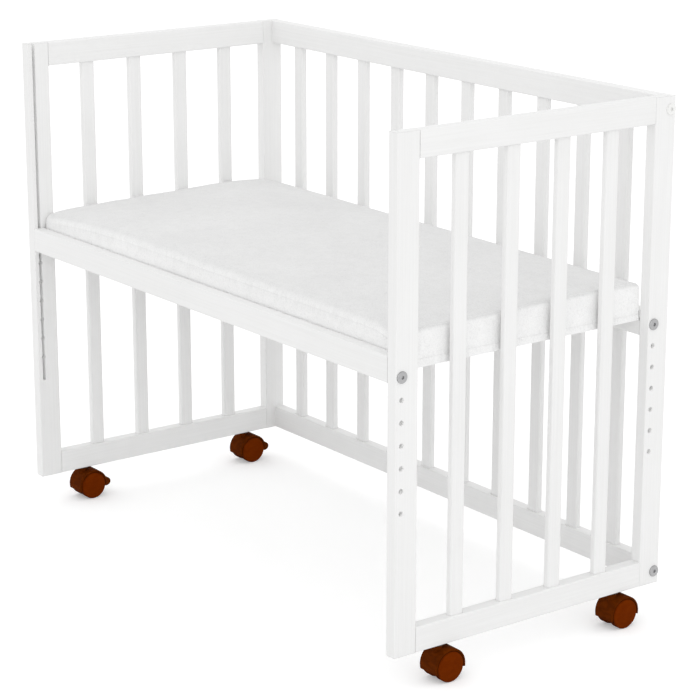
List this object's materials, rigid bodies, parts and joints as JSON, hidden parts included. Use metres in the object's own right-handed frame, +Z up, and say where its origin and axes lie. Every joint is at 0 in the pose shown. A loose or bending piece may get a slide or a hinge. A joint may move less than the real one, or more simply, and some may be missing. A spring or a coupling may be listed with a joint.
{
  "type": "bedside sleeper crib",
  "caption": "Open-fronted bedside crib in white wood with slatted ends and back, a height-adjustable mattress base and brown swivelling twin-wheel casters with brake pedals.",
  "frame": {"origin": "on the floor under the middle of the crib", "axes": "+X along the length towards the right end, +Y from the open front to the slatted back, +Z up"},
  "size_m": [0.961, 0.472, 0.747],
  "materials": {
    "white_painted_wood": "opaque white satin paint",
    "bare_wood": "plain beech",
    "white_metal": "white enamel",
    "zinc_steel": "zinc plated",
    "socket_plastic": "moulded",
    "brown_housing": "moulded brown",
    "brown_wheel": "moulded brown",
    "white_fabric": "soft white knitted cover over foam"
  },
  "bodies": {
    "frame": {"front_left_post": "white_painted_wood", "rear_left_post": "white_painted_wood", "left_top_rail": "white_painted_wood", "left_bottom_rail": "white_painted_wood", "left_slat_1": "white_painted_wood", "left_slat_2": "white_painted_wood", "left_slat_3": "white_painted_wood", "left_slat_4": "white_painted_wood", "front_right_post": "white_painted_wood", "rear_right_post": "white_painted_wood", "right_top_rail": "white_painted_wood", "right_bottom_rail": "white_painted_wood", "right_slat_1": "white_painted_wood", "right_slat_2": "white_painted_wood", "right_slat_3": "white_painted_wood", "right_slat_4": "white_painted_wood", "back_top_rail": "white_painted_wood", "back_bottom_rail": "white_painted_wood", "back_slat_1": "white_painted_wood", "back_slat_2": "white_painted_wood", "back_slat_3": "white_painted_wood", "back_slat_4": "white_painted_wood", "back_slat_5": "white_painted_wood", "back_slat_6": "white_painted_wood", "back_slat_7": "white_painted_wood", "back_slat_8": "white_painted_wood", "back_slat_9": "white_painted_wood", "back_slat_10": "white_painted_wood", "back_top_bolts": "white_metal", "back_bottom_bolts": "zinc_steel", "back_barrel_nuts": "zinc_steel", "end_panel_dowels": "bare_wood", "caster_sockets": "socket_plastic"},
    "base": {"base_front_rail": "white_painted_wood", "base_rear_rail": "white_painted_wood", "base_board": "white_painted_wood", "base_bearer_1": "white_painted_wood", "base_bearer_2": "white_painted_wood", "base_bearer_3": "white_painted_wood", "base_bolts": "zinc_steel", "base_barrel_nuts": "zinc_steel", "mattress": "white_fabric"},
    "front_left_caster": {"front_left_caster_housing": "brown_housing", "front_left_caster_pins": "zinc_steel"},
    "front_left_left_wheel": {"front_left_caster_left_wheel": "brown_wheel"},
    "front_left_right_wheel": {"front_left_caster_right_wheel": "brown_wheel"},
    "front_left_brake_pedal": {"front_left_caster_brake_pedal": "brown_housing"},
    "front_right_caster": {"front_right_caster_housing": "brown_housing", "front_right_caster_pins": "zinc_steel"},
    "front_right_left_wheel": {"front_right_caster_left_wheel": "brown_wheel"},
    "front_right_right_wheel": {"front_right_caster_right_wheel": "brown_wheel"},
    "rear_left_caster": {"rear_left_caster_housing": "brown_housing", "rear_left_caster_pins": "zinc_steel"},
    "rear_left_left_wheel": {"rear_left_caster_left_wheel": "brown_wheel"},
    "rear_left_right_wheel": {"rear_left_caster_right_wheel": "brown_wheel"},
    "rear_left_brake_pedal": {"rear_left_caster_brake_pedal": "brown_housing"},
    "rear_right_caster": {"rear_right_caster_housing": "brown_housing", "rear_right_caster_pins": "zinc_steel"},
    "rear_right_left_wheel": {"rear_right_caster_left_wheel": "brown_wheel"},
    "rear_right_right_wheel": {"rear_right_caster_right_wheel": "brown_wheel"}
  },
  "joints": [
    {"name": "base_height", "type": "slide", "parent": "frame", "child": "base", "axis": [0, 0, 1], "range_m": [-0.183, 0]},
    {"name": "front_left_swivel", "type": "hinge", "parent": "frame", "child": "front_left_caster", "pos_m": [-0.461, -0.157, 0.0505], "axis": [0, 0, 1], "continuous": true},
    {"name": "front_left_left_spin", "type": "hinge", "parent": "front_left_caster", "child": "front_left_left_wheel", "pos_m": [-0.4745, -0.147, 0.0215], "axis": [1, 0, 0], "continuous": true},
    {"name": "front_left_right_spin", "type": "hinge", "parent": "front_left_caster", "child": "front_left_right_wheel", "pos_m": [-0.4475, -0.147, 0.0215], "axis": [1, 0, 0], "continuous": true},
    {"name": "front_left_brake", "type": "hinge", "parent": "front_left_caster", "child": "front_left_brake_pedal", "pos_m": [-0.461, -0.12758, 0.03561], "axis": [1, 0, 0], "range_deg": [0, 18]},
    {"name": "front_right_swivel", "type": "hinge", "parent": "frame", "child": "front_right_caster", "pos_m": [0.461, -0.157, 0.0505], "axis": [0, 0, 1], "continuous": true},
    {"name": "front_right_left_spin", "type": "hinge", "parent": "front_right_caster", "child": "front_right_left_wheel", "pos_m": [0.4475, -0.147, 0.0215], "axis": [1, 0, 0], "continuous": true},
    {"name": "front_right_right_spin", "type": "hinge", "parent": "front_right_caster", "child": "front_right_right_wheel", "pos_m": [0.4745, -0.147, 0.0215], "axis": [1, 0, 0], "continuous": true},
    {"name": "rear_left_swivel", "type": "hinge", "parent": "frame", "child": "rear_left_caster", "pos_m": [-0.461, 0.157, 0.0505], "axis": [0, 0, 1], "continuous": true},
    {"name": "rear_left_left_spin", "type": "hinge", "parent": "rear_left_caster", "child": "rear_left_left_wheel", "pos_m": [-0.4745, 0.167, 0.0215], "axis": [1, 0, 0], "continuous": true},
    {"name": "rear_left_right_spin", "type": "hinge", "parent": "rear_left_caster", "child": "rear_left_right_wheel", "pos_m": [-0.4475, 0.167, 0.0215], "axis": [1, 0, 0], "continuous": true},
    {"name": "rear_left_brake", "type": "hinge", "parent": "rear_left_caster", "child": "rear_left_brake_pedal", "pos_m": [-0.461, 0.18642, 0.03561], "axis": [1, 0, 0], "range_deg": [0, 18]},
    {"name": "rear_right_swivel", "type": "hinge", "parent": "frame", "child": "rear_right_caster", "pos_m": [0.461, 0.157, 0.0505], "axis": [0, 0, 1], "continuous": true},
    {"name": "rear_right_left_spin", "type": "hinge", "parent": "rear_right_caster", "child": "rear_right_left_wheel", "pos_m": [0.4475, 0.167, 0.0215], "axis": [1, 0, 0], "continuous": true},
    {"name": "rear_right_right_spin", "type": "hinge", "parent": "rear_right_caster", "child": "rear_right_right_wheel", "pos_m": [0.4745, 0.167, 0.0215], "axis": [1, 0, 0], "continuous": true}
  ]
}
